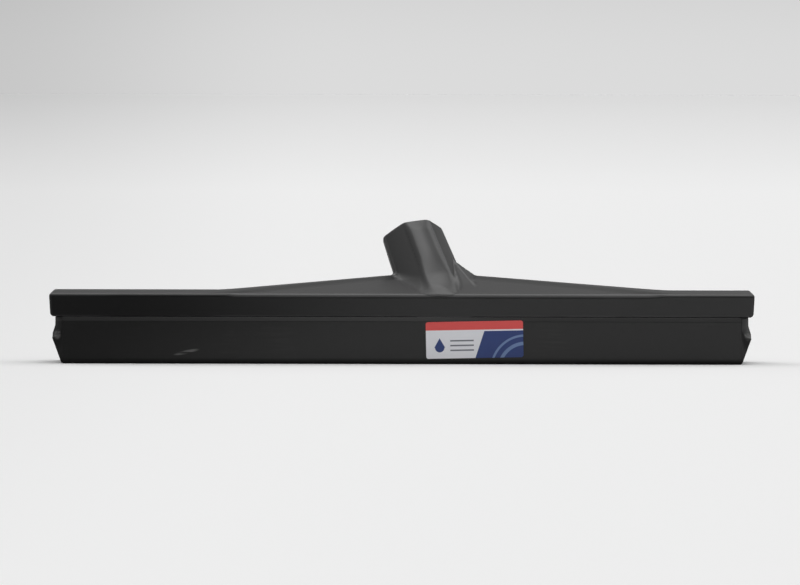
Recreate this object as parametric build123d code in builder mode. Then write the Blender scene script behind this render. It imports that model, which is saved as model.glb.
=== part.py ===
from build123d import *
from math import cos, floor, radians, sin, sqrt, tan
import os

os.makedirs("parts", exist_ok=True)

# Floor squeegee head with a slide-in double-blade cassette. Millimetres and degrees.
# X runs along the head, Y from the front blade to the rear, Z up from the floor.
# The origin is the middle of the front blade's wiping face.

# Driving dimensions: the whole head
head_length = 450.0

# Driving dimensions: the rubber blades
blade_height = 29.7
blade_thickness = 13.0
blade_proud = 1.2
shoulder_rise = 2.6
shoulder_radius = 1.5
blade_lip_radius = 1.2
blade_heel_radius = 0.6

# Driving dimensions: the moulded bar
frame_depth = 48.0
frame_height = 16.0
skirt_wall = 3.0
lip_height = 2.5
lip_reach = 3.0
top_fall = 1.0
top_edge_radius = 2.2
end_draft = 0.8
end_corner_radius = 2.5
end_edge_radius = 1.5

# Driving dimensions: the cored pockets above the channel
core_wall = 3.0
core_rib = 3.0
core_pitch = 36.0
core_margin = 5.0
core_clear = 30.0

# Driving dimensions: the low hump that carries the socket
hump_offset = 27.0
hump_span = 288.0
hump_rise = 11.7
hump_setback = 10.0
crest_length = 8.0
crest_depth = 3.0

# Driving dimensions: the handle socket
socket_offset = 17.7
socket_setback = 11.0
side_lean = 21.0
back_lean = 39.5
socket_reach = 42.3
socket_flats = 40.8
socket_sides = 8
socket_taper = 3.3
socket_turn = 31.0
socket_corner = 5.0
corner_trim = 5.2
socket_floor = 3.0
heel_height = 3.0
heel_slope = 38.0
rim_radius = 1.2
bore_diameter = 28.5
bore_chamfer = 1.0
pilot_diameter = 5.0
pilot_depth = 1.0
pilot_drop = 9.0

# Driving dimensions: the buttress between socket and hump
buttress_rise = 19.0
buttress_apex = (22.0, -12.5)
buttress_front = (18.0, -19.5)
buttress_corner = (32.4, -18.2)
buttress_ridge = (46.0, 5.6)
buttress_root = (0.0, 8.0)
buttress_tip = 0.06

# Driving dimensions: the cassette rail and its pins
flange_thickness = 4.0
web_wall = 3.0
web_foot = 9.0
pin_margin = 20.0
pin_pitch = 54.0
pin_height = 17.0
pin_diameter = 4.0
pin_bite = 9.0
barb_height = 0.5
barb_pitch = 2.0
barb_count = 3

# Driving dimensions: the end caps
cap_length = 9.0
neck_inset = 3.9
neck_base = 24.6
neck_radius = 3.0
nose_inset = 2.2
nose_high = 19.3
nose_low = 16.2
nose_radius = 0.8
toe_inset = 8.0
toe_lift = 0.4
relief_leg = 6.1
relief_stop = 16.0
relief_radius = 7.0
tenon_length = 14.0
tenon_foot = 12.0

# Driving dimensions: the label on the front blade
label_width = 62.0
label_height = 23.4
label_thickness = 0.15
label_corner = 1.5
label_offset = 46.4
label_rise = 15.7
label_tilt = 1.2

# Clearances
running_gap = 0.3
end_gap = 0.2
plug_gap = 0.15
hole_gap = 0.1
tip_gap = 0.4

# Places that follow from the driving dimensions
half_length = head_length / 2
half_depth = frame_depth / 2
blade_face = half_depth + blade_proud
blade_back = blade_face - blade_thickness
mid_depth = blade_face - blade_thickness / 2
frame_bottom = blade_height + running_gap
frame_top = frame_bottom + frame_height
lip_top = frame_bottom + lip_height
flange_bottom = lip_top + running_gap
flange_top = flange_bottom + flange_thickness
ceiling = flange_top + running_gap
channel_half = half_depth - skirt_wall
throat_half = channel_half - lip_reach
flange_half = channel_half - running_gap
neck_half = throat_half - running_gap
hollow_half = blade_back - web_wall
rail_length = head_length - 2 * cap_length
cap_inner = rail_length / 2 + end_gap
cap_neck = half_length - neck_inset
cap_nose = half_length - nose_inset
cap_half_depth = blade_face - end_gap
pin_tip = blade_back + pin_bite - tip_gap
barb_radius = pin_diameter / 2 + barb_height

# Work planes through the bar's mid-depth
section = Plane(origin=(0, mid_depth, 0), x_dir=(0, 1, 0), z_dir=(1, 0, 0))
front = Plane(origin=(0, mid_depth, 0), x_dir=(1, 0, 0), z_dir=(0, -1, 0))
rear = Plane(origin=(0, mid_depth, 0), x_dir=(-1, 0, 0), z_dir=(0, 1, 0))
bar_top = Plane(
    origin=(0, mid_depth, frame_top - top_fall / 2),
    x_dir=(1, 0, 0),
    z_dir=Vector(0, -top_fall, frame_depth).normalized(),
)
crest_top = Plane(origin=(0, mid_depth, frame_top + hump_rise))
buttress_top = Plane(origin=(0, mid_depth, frame_top + buttress_rise))

# The socket's axis, which leans to one side and back from the blades
socket_axis = Vector(-tan(radians(side_lean)), tan(radians(back_lean)), 1).normalized()
socket_foot = Vector(socket_offset, mid_depth + socket_setback, frame_top)
socket_mouth = socket_foot + socket_axis * socket_reach
mouth = Plane(origin=socket_mouth, x_dir=Vector(1, 0, 0) - socket_axis * socket_axis.X, z_dir=socket_axis)
axis_drop = socket_axis.Z
axis_run = sqrt(1 - axis_drop**2)
bore_radius = bore_diameter / 2
bore_floor = (bore_radius * axis_run + ceiling + socket_floor - frame_top) / axis_drop
bore_depth = socket_reach - bore_floor
half_side = radians(180 / socket_sides)
trimmed_side = socket_flats * tan(half_side) - corner_trim / sin(half_side)
corner_radius = min(socket_corner, 0.95 * trimmed_side / (tan(half_side) + tan(half_side / 2)))
corner_reach = (socket_flats / 2 - corner_radius) / cos(half_side) + corner_radius
pilot_side = mouth.x_dir.rotate(Axis((0, 0, 0), socket_axis), socket_turn)
pilot_floor = corner_reach + pilot_drop * tan(radians(socket_taper)) - pilot_depth

# Socket blank: a tapered eight-sided tube with one corner planed off, cut to a sloping heel behind the bar
socket_root = (frame_height + socket_flats * axis_run) / axis_drop
blank_length = socket_reach + socket_root
blank_growth = blank_length * tan(radians(socket_taper))
trim_turn = socket_turn + 3 * 360 / socket_sides
trim_side = Vector(1, 0).rotate(Axis.Z, trim_turn)
with BuildPart() as socket_blank:
    for level, growth in ((0, 0), (-blank_length, blank_growth)):
        half_flats = socket_flats / 2 + growth
        trim_place = trim_side * (half_flats / cos(half_side) - corner_trim)
        with BuildSketch(mouth.offset(level)):
            RegularPolygon(half_flats, socket_sides, major_radius=False, rotation=socket_turn)
            with Locations(trim_place):
                Rectangle(4 * half_flats, 4 * half_flats, trim_turn, (Align.MAX, Align.CENTER), Mode.INTERSECT)
            fillet(vertices(), corner_radius)
    loft(ruled=True)
    fillet(socket_blank.faces().sort_by(Axis.Z)[-1].edges(), rim_radius)
    with BuildSketch(section):
        with BuildLine():
            Polyline(
                (-half_depth + top_edge_radius / 2, ceiling),
                (half_depth - skirt_wall, ceiling),
                (half_depth - skirt_wall, frame_bottom + heel_height),
                (half_depth, frame_bottom + heel_height),
                (half_depth + blank_length, frame_bottom + heel_height + blank_length * tan(radians(heel_slope))),
                (half_depth + blank_length, frame_top + blank_length),
                (-half_depth + top_edge_radius / 2, frame_top + blank_length),
                close=True,
            )
        make_face()
    extrude(amount=half_length, both=True, mode=Mode.INTERSECT)

# Frame: bar, hump, buttress and socket in one moulding, with a channel for the cassette
left_run = half_length - core_margin + socket_offset - core_clear
right_run = half_length - core_margin - socket_offset - core_clear
end_flare = end_draft * top_edge_radius / (frame_height - top_edge_radius)
buttress_base = [
    Vector(socket_offset, 0) + Vector(*corner)
    for corner in (buttress_root, buttress_front, buttress_corner, buttress_ridge)
]
axis_at_apex = socket_axis * (buttress_rise / axis_drop)
apex = Vector(socket_offset + axis_at_apex.X, socket_setback + axis_at_apex.Y) + Vector(*buttress_apex)
with BuildPart() as frame:
    with BuildSketch(front):
        with BuildLine():
            Polyline(
                (-half_length + end_draft, frame_bottom),
                (half_length - end_draft, frame_bottom),
                (half_length + end_flare, frame_top),
                (-half_length - end_flare, frame_top),
                close=True,
            )
        make_face()
    extrude(amount=half_depth, both=True)
    split(bisect_by=bar_top, keep=Keep.BOTTOM)
    fillet(frame.edges().filter_by(lambda edge: abs(edge.tangent_at(0.5).Z) > 0.9), end_edge_radius)
    fillet(frame.faces().sort_by(Axis.Z)[0].edges().filter_by(Axis.Y), end_corner_radius)
    fillet(frame.faces().sort_by(Axis.Z)[-1].edges(), top_edge_radius)
    with BuildSketch(bar_top):
        with Locations((hump_offset, 0)):
            Rectangle(hump_span, frame_depth - 2 * top_edge_radius)
    with BuildSketch(crest_top):
        with Locations((socket_offset, hump_setback)):
            Rectangle(crest_length, crest_depth)
    loft(ruled=True)
    with BuildSketch(bar_top):
        with BuildLine():
            Polyline(*buttress_base, close=True)
        make_face()
    with BuildSketch(buttress_top):
        with BuildLine():
            Polyline(*[apex + (point - apex) * buttress_tip for point in buttress_base], close=True)
        make_face()
    loft(ruled=True)
    add(socket_blank.part)
    with BuildSketch(section):
        with Locations((0, lip_top)):
            Rectangle(2 * channel_half, ceiling - lip_top, align=(Align.CENTER, Align.MIN))
        with Locations((0, frame_bottom)):
            Rectangle(2 * throat_half, lip_height, align=(Align.CENTER, Align.MIN))
    extrude(amount=half_length, both=True, mode=Mode.SUBTRACT)
    for run, middle in (
        (left_run, (-half_length + core_margin + socket_offset - core_clear) / 2),
        (right_run, (half_length - core_margin + socket_offset + core_clear) / 2),
    ):
        with BuildSketch(Plane(origin=(middle, mid_depth, ceiling))):
            with GridLocations(core_pitch, throat_half, floor(run / core_pitch), 1):
                Rectangle(core_pitch - core_rib, 2 * throat_half)
        extrude(amount=frame_top - top_fall - core_wall - ceiling, mode=Mode.SUBTRACT)
    with BuildSketch(mouth):
        Circle(bore_radius)
    extrude(amount=-bore_depth, mode=Mode.SUBTRACT)
    chamfer(frame.edges().filter_by(GeomType.CIRCLE).sort_by_distance(socket_mouth)[0], bore_chamfer)
    with BuildSketch(Plane(socket_mouth - socket_axis * pilot_drop + pilot_side * pilot_floor, z_dir=pilot_side)):
        Circle(pilot_diameter / 2)
    extrude(amount=pilot_diameter, mode=Mode.SUBTRACT)
frame.part.label = "frame"
export_step(frame.part, "parts/frame.step")

# Cassette rail: a flanged profile with two webs that the blades lie against
pin_spaces = floor((rail_length - 2 * pin_margin) / pin_pitch)
pin_places = [(pin_pitch * (place - pin_spaces / 2), pin_height) for place in range(pin_spaces + 1)]
with BuildPart() as cassette_rail:
    with BuildSketch(section):
        with Locations((0, flange_bottom)):
            Rectangle(2 * flange_half, flange_thickness, align=(Align.CENTER, Align.MIN))
        with Locations((0, blade_height)):
            Rectangle(2 * neck_half, flange_bottom - blade_height, align=(Align.CENTER, Align.MIN))
        with Locations((0, web_foot)):
            Rectangle(2 * blade_back, blade_height - web_foot, align=(Align.CENTER, Align.MIN))
            Rectangle(
                2 * hollow_half,
                flange_bottom - web_foot,
                align=(Align.CENTER, Align.MIN),
                mode=Mode.SUBTRACT,
            )
    extrude(amount=rail_length / 2, both=True)
    with BuildSketch(front):
        with Locations(*pin_places):
            Circle(pin_diameter / 2 + hole_gap)
    extrude(amount=blade_back, both=True, mode=Mode.SUBTRACT)
cassette_rail.part.label = "cassette_rail"
export_step(cassette_rail.part, "parts/cassette_rail.step")

# Blades: two rubber strips with a sloping shoulder, bored part way for the barbed pins
for blade_name, side, outer, inner_face in (("front_blade", -1, 0, front), ("rear_blade", 1, -1, rear)):
    with BuildPart() as blade:
        with BuildSketch(section):
            with BuildLine():
                Polyline(
                    (side * blade_back, 0),
                    (side * blade_face, 0),
                    (side * blade_face, blade_height - shoulder_rise),
                    (side * half_depth, blade_height),
                    (side * blade_back, blade_height),
                    close=True,
                )
            make_face()
            fillet(vertices().group_by(Axis.Y)[1], shoulder_radius)
            fillet(vertices().group_by(Axis.Y)[0].sort_by(Axis.X)[outer], blade_lip_radius)
            fillet(vertices().group_by(Axis.Y)[0].sort_by(Axis.X)[-1 - outer], blade_heel_radius)
        extrude(amount=rail_length / 2, both=True)
        with BuildSketch(inner_face.offset(blade_back)):
            with Locations(*pin_places):
                Circle(barb_radius + hole_gap)
        extrude(amount=pin_bite, mode=Mode.SUBTRACT)
    blade.part.label = blade_name
    export_step(blade.part, f"parts/{blade_name}.step")

# Blade pins: barbed at both ends, across the rail and into both blades
with BuildPart() as pin:
    with BuildSketch(Plane.XY):
        with BuildLine():
            barb_start = pin_tip - barb_count * barb_pitch
            teeth = []
            for tooth in range(barb_count):
                teeth.append((barb_radius, barb_start + tooth * barb_pitch))
                teeth.append((pin_diameter / 2, barb_start + (tooth + 1) * barb_pitch))
            Polyline((0, 0), (pin_diameter / 2, 0), (pin_diameter / 2, barb_start), *teeth, (0, pin_tip), close=True)
        make_face()
    revolve(axis=Axis.Y)
    mirror(about=Plane.XZ)
with BuildPart() as blade_pins:
    with Locations(*[(x, mid_depth, z) for x, z in pin_places]):
        add(pin.part)
blade_pins.part.label = "blade_pins"
export_step(blade_pins.part, "parts/blade_pins.step")

# End caps: a wedge nose that covers the blade ends, with a tongue in the channel and a tenon in the rail
relief_depth = relief_leg / sqrt(2)
with BuildPart() as right_end_cap:
    with BuildSketch(front):
        with BuildLine():
            Polyline(
                (cap_inner, toe_lift),
                (half_length - toe_inset, toe_lift),
                (cap_nose, nose_low),
                (cap_nose, nose_high),
                (cap_neck, neck_base),
                (cap_neck, blade_height),
                (cap_inner, blade_height),
                close=True,
            )
        make_face()
        fillet(vertices().filter_by_position(Axis.X, cap_nose - end_gap, cap_nose + end_gap), nose_radius)
        fillet(vertices().filter_by_position(Axis.Y, neck_base - end_gap, neck_base + end_gap), neck_radius)
    extrude(amount=cap_half_depth, both=True)
    for facing in (-1, 1):
        outward = Vector(1, facing, 0).normalized()
        corner = Vector(cap_nose, mid_depth + facing * cap_half_depth, 0)
        with BuildSketch(Plane(origin=corner, x_dir=outward, z_dir=outward.cross(Vector(0, 0, 1)))):
            with BuildLine():
                Polyline(
                    (-relief_depth, relief_stop + relief_radius),
                    (-relief_depth, blade_height),
                    (relief_radius, blade_height),
                    (relief_radius, relief_stop),
                    (relief_radius - relief_depth, relief_stop),
                )
                RadiusArc(
                    (relief_radius - relief_depth, relief_stop),
                    (-relief_depth, relief_stop + relief_radius),
                    relief_radius,
                )
            make_face()
        extrude(amount=relief_leg + relief_radius, both=True, mode=Mode.SUBTRACT)
    with BuildSketch(section.offset(cap_inner)):
        with Locations((0, flange_bottom)):
            Rectangle(2 * flange_half, flange_thickness, align=(Align.CENTER, Align.MIN))
        with Locations((0, blade_height)):
            Rectangle(2 * neck_half, flange_bottom - blade_height, align=(Align.CENTER, Align.MIN))
    extrude(amount=cap_neck - cap_inner)
    with BuildSketch(section.offset(cap_inner)):
        with Locations((0, tenon_foot)):
            Rectangle(
                2 * (hollow_half - plug_gap),
                flange_bottom - plug_gap - tenon_foot,
                align=(Align.CENTER, Align.MIN),
            )
    extrude(amount=-tenon_length)
right_end_cap.part.label = "right_end_cap"
export_step(right_end_cap.part, "parts/right_end_cap.step")

with BuildPart() as left_end_cap:
    mirror(right_end_cap.part, about=Plane.YZ)
left_end_cap.part.label = "left_end_cap"
export_step(left_end_cap.part, "parts/left_end_cap.step")

# Label: a thin sticker on the front blade, a little out of level
label_face = Plane(origin=(label_offset, -blade_thickness / 2, label_rise), x_dir=(1, 0, 0), z_dir=(0, -1, 0))
with BuildPart() as label:
    with BuildSketch(label_face):
        RectangleRounded(label_width, label_height, label_corner, rotation=label_tilt)
    extrude(amount=label_thickness)
label.part.label = "label"
export_step(label.part, "parts/label.step")
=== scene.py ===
"""Floor squeegee head: the looks of its moulded bar, blade cassette, end caps and sticker."""

from __future__ import annotations

import logging
import math
from dataclasses import dataclass
from enum import Enum
from functools import reduce
from itertools import product
from typing import Any, Callable, Mapping, Sequence

import bmesh
import bpy
import numpy as np
from mathutils import Euler, Matrix, Vector

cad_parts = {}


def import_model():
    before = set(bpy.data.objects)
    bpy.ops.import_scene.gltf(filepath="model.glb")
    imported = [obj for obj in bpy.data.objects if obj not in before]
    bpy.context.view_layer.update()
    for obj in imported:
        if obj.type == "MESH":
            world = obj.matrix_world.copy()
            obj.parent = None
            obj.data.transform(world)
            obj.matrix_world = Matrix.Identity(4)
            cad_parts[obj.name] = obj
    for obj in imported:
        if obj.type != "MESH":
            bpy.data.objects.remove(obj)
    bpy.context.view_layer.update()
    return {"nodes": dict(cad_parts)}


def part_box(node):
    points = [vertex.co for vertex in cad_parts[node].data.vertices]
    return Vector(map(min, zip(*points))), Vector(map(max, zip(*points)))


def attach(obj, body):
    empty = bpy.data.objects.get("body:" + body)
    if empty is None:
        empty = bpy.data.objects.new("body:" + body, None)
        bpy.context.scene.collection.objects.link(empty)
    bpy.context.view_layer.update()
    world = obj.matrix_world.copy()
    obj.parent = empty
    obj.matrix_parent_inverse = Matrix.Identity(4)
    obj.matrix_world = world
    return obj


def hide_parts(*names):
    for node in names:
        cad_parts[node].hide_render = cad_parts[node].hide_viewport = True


log = logging.getLogger("squeegee")

MM = 0.001
WELD = 0.001 * MM
SEAM_ROOM = 0.01 * MM
FLAT = math.radians(0.2)
Colour = tuple[float, float, float]
Field = np.ndarray


class End(Enum):
    """The two ends of the head, seen from the front."""

    LEFT = "left_end_cap"
    RIGHT = "right_end_cap"


class Strip(Enum):
    """The two rubber strips of the cassette, with the way that their outer face looks along Y."""

    FRONT = ("front_blade", -1)
    REAR = ("rear_blade", 1)

    @property
    def node(self) -> str:
        """The strip's node in the frame."""
        return self.value[0]

    @property
    def facing(self) -> int:
        """The sign of Y on the strip's outer side."""
        return self.value[1]


class Term:
    """A node socket that takes part in arithmetic: each operation adds a Math node to the socket's tree."""

    def __init__(self, board: Board, socket: bpy.types.NodeSocket) -> None:
        """Wraps one output socket of a board's tree."""
        self.board = board
        self.socket = socket

    def _math(self, operation: str, *values: Term | float) -> Term:
        """Adds one Math node.

        Args:
            operation: The Math node's operation.
            values: Its inputs in order, as terms or plain numbers.

        Returns:
            The node's result.
        """
        return self.board.term("ShaderNodeMath", {"operation": operation}, dict(enumerate(values)))

    def __add__(self, other: Term | float) -> Term:
        """The sum of both."""
        return self._math("ADD", self, other)

    def __radd__(self, other: float) -> Term:
        """The sum with a plain number on the left."""
        return self._math("ADD", other, self)

    def __sub__(self, other: Term | float) -> Term:
        """The difference of both."""
        return self._math("SUBTRACT", self, other)

    def __rsub__(self, other: float) -> Term:
        """A plain number less this term."""
        return self._math("SUBTRACT", other, self)

    def __mul__(self, other: Term | float) -> Term:
        """The product of both."""
        return self._math("MULTIPLY", self, other)

    def __truediv__(self, other: Term | float) -> Term:
        """The quotient of both."""
        return self._math("DIVIDE", self, other)

    def __rtruediv__(self, other: float) -> Term:
        """A plain number divided by this term."""
        return self._math("DIVIDE", other, self)

    def __abs__(self) -> Term:
        """The size without its sign."""
        return self._math("ABSOLUTE", self)

    def root(self) -> Term:
        """The square root of this term."""
        return self._math("SQRT", self)

    def lower(self, other: Term | float) -> Term:
        """The lower of both."""
        return self._math("MINIMUM", self, other)

    def upper(self, other: Term | float) -> Term:
        """The higher of both."""
        return self._math("MAXIMUM", self, other)

    def ease(self, low: float, high: float) -> Term:
        """Rises smoothly from 0 at low to 1 at high, or falls where high is below low.

        Args:
            low: The value that gives 0.
            high: The value that gives 1.

        Returns:
            The eased value, kept between 0 and 1.
        """
        settings = {"interpolation_type": "SMOOTHSTEP"}
        inputs = {"Value": self, "From Min": low, "From Max": high}
        return self.board.term("ShaderNodeMapRange", settings, inputs)


class Board:
    """A node tree with one method that adds any node."""

    def __init__(self, tree: bpy.types.NodeTree) -> None:
        """Takes over a tree and empties it."""
        self.tree = tree
        tree.nodes.clear()

    def node(
        self,
        kind: str,
        settings: Mapping[str, Any] | None = None,
        inputs: Mapping[int | str, Any] | None = None,
    ) -> bpy.types.Node:
        """Adds one node.

        Args:
            kind: The node's type.
            settings: Its own settings.
            inputs: Its sockets' values or terms, by name or index.

        Returns:
            The new node.
        """
        node = self.tree.nodes.new(kind)
        for name, value in (settings or {}).items():
            setattr(node, name, value)
        for key, value in (inputs or {}).items():
            if isinstance(value, Term):
                self.tree.links.new(value.socket, node.inputs[key])
            else:
                node.inputs[key].default_value = value
        return node

    def term(
        self,
        kind: str,
        settings: Mapping[str, Any] | None = None,
        inputs: Mapping[int | str, Any] | None = None,
        output: int | str = 0,
    ) -> Term:
        """Adds one node and wraps one of its outputs.

        Args:
            kind: The node's type.
            settings: Its own settings.
            inputs: Its sockets' values or terms.
            output: The output's name or index.

        Returns:
            The output as a term.
        """
        return Term(self, self.node(kind, settings, inputs).outputs[output])


class Finish(Board):
    """The node tree of one material."""

    def __init__(self, name: str) -> None:
        """Makes an empty material."""
        self.material = bpy.data.materials.new(name)
        self.material.use_nodes = True
        super().__init__(self.material.node_tree)

    def place(self) -> Term:
        """The point's place on the piece, in metres."""
        return self.term("ShaderNodeTexCoord", output="Object")

    def attribute(self, name: str) -> Term:
        """A value that the mesh carries under a name."""
        return self.term("ShaderNodeAttribute", {"attribute_name": name}, output="Fac")

    def axes(self, place: Term) -> tuple[Term, Term, Term]:
        """A place's three coordinates as terms."""
        node = self.node("ShaderNodeSeparateXYZ", inputs={0: place})
        return tuple(Term(self, output) for output in node.outputs)

    def moved(
        self,
        place: Term,
        centre: Sequence[float] = (0, 0, 0),
        turn: Sequence[float] = (0, 0, 0),
        stretch: Sequence[float] = (1, 1, 1),
    ) -> Term:
        """A place measured from a centre, turned and stretched.

        Args:
            place: The place to change.
            centre: The new origin in metres.
            turn: The turn about each axis in radians.
            stretch: How long a pattern becomes along each axis.

        Returns:
            The changed place.
        """
        shift = self.term("ShaderNodeVectorMath", {"operation": "SUBTRACT"}, {0: place, 1: centre})
        settings = {"vector_type": "POINT"}
        inputs = {"Vector": shift, "Rotation": turn, "Scale": [1 / length for length in stretch]}
        return self.term("ShaderNodeMapping", settings, inputs)

    def noise(self, place: Term, size: float, detail: float = 2.0, roughness: float = 0.5) -> Term:
        """Soft noise about 0.5.

        Args:
            place: The place that it reads.
            size: The width of its features in metres.
            detail: How many finer layers it has.
            roughness: How strong the finer layers are.

        Returns:
            The noise from 0 to 1.
        """
        inputs = {"Vector": place, "Scale": 1 / size, "Detail": detail, "Roughness": roughness}
        return self.term("ShaderNodeTexNoise", {"noise_dimensions": "3D"}, inputs)

    def blend(self, amount: Term | float, first: Term | Colour, second: Term | Colour) -> Term:
        """A colour between two colours.

        Args:
            amount: 0 gives the first and 1 the second.
            first: The first colour.
            second: The second colour.

        Returns:
            The mixed colour.
        """
        colours = [value if isinstance(value, Term) else (*value, 1.0) for value in (first, second)]
        node = self.node("ShaderNodeMix", {"data_type": "RGBA"}, {0: amount, 6: colours[0], 7: colours[1]})
        return Term(self, node.outputs[2])

    def bump(self, height: Term, depth: float) -> Term:
        """A surface normal with a relief.

        Args:
            height: The relief from 0 to 1.
            depth: The height in metres that 1 stands for.

        Returns:
            The normal.
        """
        return self.term("ShaderNodeBump", inputs={"Strength": 1.0, "Distance": depth, "Height": height})

    def coat(self, sockets: Mapping[str, Any]) -> bpy.types.Material:
        """Ends the tree in a surface shader.

        Args:
            sockets: The surface shader's sockets.

        Returns:
            The finished material.
        """
        surface = self.term("ShaderNodeBsdfPrincipled", inputs=sockets)
        self.node("ShaderNodeOutputMaterial", inputs={"Surface": surface})
        return self.material


@dataclass(frozen=True)
class SatinPlastic:
    """Black moulded plastic with a fine grain, uneven gloss, and polished edges whose colour is lightened as
    edge wear and a painted highlight.
    """

    name: str
    colour: Colour = (0.007, 0.007, 0.0072)
    worn_and_highlight_colour: Colour = (0.035, 0.035, 0.036)
    roughness: float = 0.42
    specular: float = 0.125
    sheen: float = 0.9
    sheen_roughness: float = 0.3
    gloss: float = 0.88
    gloss_reach: tuple[float, float] = (-185 * MM, 45 * MM)
    grain_size: float = 0.35 * MM
    grain_depth: float = 0.006 * MM
    cloud_size: float = 38 * MM
    cloud_share: float = 0.16
    flow_size: float = 4 * MM
    flow_length: float = 9.0
    flow_share: float = 0.08
    flow_relief: float = 2.0
    wear_and_highlight_cloud: tuple[float, float] = (0.35, 0.65)
    wear_shine: float = 0.06
    wear_and_highlight_tint: float = 0.6

    def material(self) -> bpy.types.Material:
        """The finish as a material."""
        finish = Finish(self.name)
        place = finish.place()
        grain = finish.noise(place, self.grain_size)
        cloud = finish.noise(place, self.cloud_size, detail=3.0)
        flow = finish.noise(finish.moved(place, stretch=(self.flow_length, 1, 1)), self.flow_size)
        # painted highlight: convex edges are lightened towards the paler colour, partly as edge wear and
        # partly as a painted highlight
        worn_and_highlit = finish.attribute("wear_and_highlight") * cloud.ease(*self.wear_and_highlight_cloud)
        uneven = (cloud - 0.5) * self.cloud_share + (flow - 0.5) * self.flow_share
        along, _, _ = finish.axes(place)
        rubbed_gloss = along.ease(*self.gloss_reach) * self.gloss
        top_sheen = finish.attribute("polish") * self.sheen
        return finish.coat({
            "Base Color": finish.blend(worn_and_highlit * self.wear_and_highlight_tint, self.colour, self.worn_and_highlight_colour),
            "Roughness": self.roughness + uneven - worn_and_highlit * self.wear_shine,
            "Normal": finish.bump(grain + flow * self.flow_relief, self.grain_depth),
            "Specular IOR Level": self.specular,
            "Coat Weight": top_sheen + finish.attribute("upright") * rubbed_gloss,
            "Coat Roughness": self.sheen_roughness,
        })


@dataclass(frozen=True)
class ScuffAndHighlight:
    """A pale patch on the front of the rubber: a rubbed scuff on a blade, a painted highlight on a cap."""

    centre: tuple[float, float]
    half: tuple[float, float]
    tilt: float = 0.0
    front: float = -2 * MM
    front_fade: float = 1 * MM
    core: float = 0.4

    def seen(self, finish: Finish, place: Term) -> Term:
        """How far a place lies in the patch.

        Args:
            finish: The finish that the patch belongs to.
            place: The place.

        Returns:
            1 in the patch, 0 away from it.
        """
        middle = (self.centre[0], 0.0, self.centre[1])
        across, depth, up = finish.axes(finish.moved(place, middle, (0, self.tilt, 0)))
        across = across / self.half[0]
        up = up / self.half[1]
        patch = (across * across + up * up).root().ease(1.0, self.core)
        return patch * depth.ease(self.front + self.front_fade, self.front)


@dataclass(frozen=True)
class BlackRubber:
    """Smooth black rubber with uneven gloss, faint wipe marks, a shiny crown, a dull foot, and pale patches
    that are rubbed scuffs and painted highlights.
    """

    name: str
    scuffs_and_highlights: tuple[ScuffAndHighlight, ...] = ()
    colour: Colour = (0.007, 0.007, 0.007)
    dust_colour: Colour = (0.04, 0.04, 0.039)
    scuff_and_highlight_colour: Colour = (0.085, 0.085, 0.083)
    roughness: float = 0.46
    specular: float = 0.18
    gloss: float = 0.69
    gloss_reach: tuple[float, float] = (-262 * MM, -30 * MM)
    gloss_lean: float = 2.0
    sheen: float = 0.38
    sheen_reach: tuple[float, float] = (90 * MM, 10 * MM)
    sheen_roughness: float = 0.3
    crown: tuple[float, float] = (26.6 * MM, 27.6 * MM)
    dull: float = 0.4
    foot: tuple[float, float] = (4.5 * MM, 0.8 * MM)
    grain_size: float = 0.25 * MM
    grain_depth: float = 0.008 * MM
    cloud_size: float = 30 * MM
    cloud_share: float = 0.14
    wipe_size: float = 2 * MM
    wipe_length: float = 14.0
    wipe_share: float = 0.06
    dust_cloud: tuple[float, float] = (0.45, 0.8)
    dust_wipe: tuple[float, float] = (0.4, 0.8)
    dust_tint: float = 0.35
    scuff_and_highlight_wipe: tuple[float, float] = (0.3, 0.6)

    def material(self) -> bpy.types.Material:
        """The finish as a material."""
        finish = Finish(self.name)
        place = finish.place()
        grain = finish.noise(place, self.grain_size)
        cloud = finish.noise(place, self.cloud_size, detail=3.0)
        wipe = finish.noise(finish.moved(place, stretch=(self.wipe_length, 1, 1)), self.wipe_size, detail=4.0)
        dust = cloud.ease(*self.dust_cloud) * wipe.ease(*self.dust_wipe)
        along, _, height = finish.axes(place)
        foot = height.ease(*self.foot)
        leaning = along - height * self.gloss_lean
        rubbed_gloss = leaning.ease(*self.gloss_reach) * (1.0 - foot) * self.gloss
        crown_sheen = height.ease(*self.crown) * along.ease(*self.sheen_reach) * self.sheen
        uneven = (cloud - 0.5) * self.cloud_share + (wipe - 0.5) * self.wipe_share
        colour = finish.blend(dust * self.dust_tint, self.colour, self.dust_colour)
        # pale patches: rubbed scuffs, and painted highlights where a patch stands for light on the caps
        for scuff_and_highlight in self.scuffs_and_highlights:
            pale = scuff_and_highlight.seen(finish, place) * wipe.ease(*self.scuff_and_highlight_wipe)
            colour = finish.blend(pale, colour, self.scuff_and_highlight_colour)
        return finish.coat({
            "Base Color": colour,
            "Roughness": self.roughness + uneven + foot * self.dull,
            "Normal": finish.bump(grain + wipe, self.grain_depth),
            "Specular IOR Level": self.specular,
            "Coat Weight": rubbed_gloss + crown_sheen,
            "Coat Roughness": self.sheen_roughness,
        })


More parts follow.
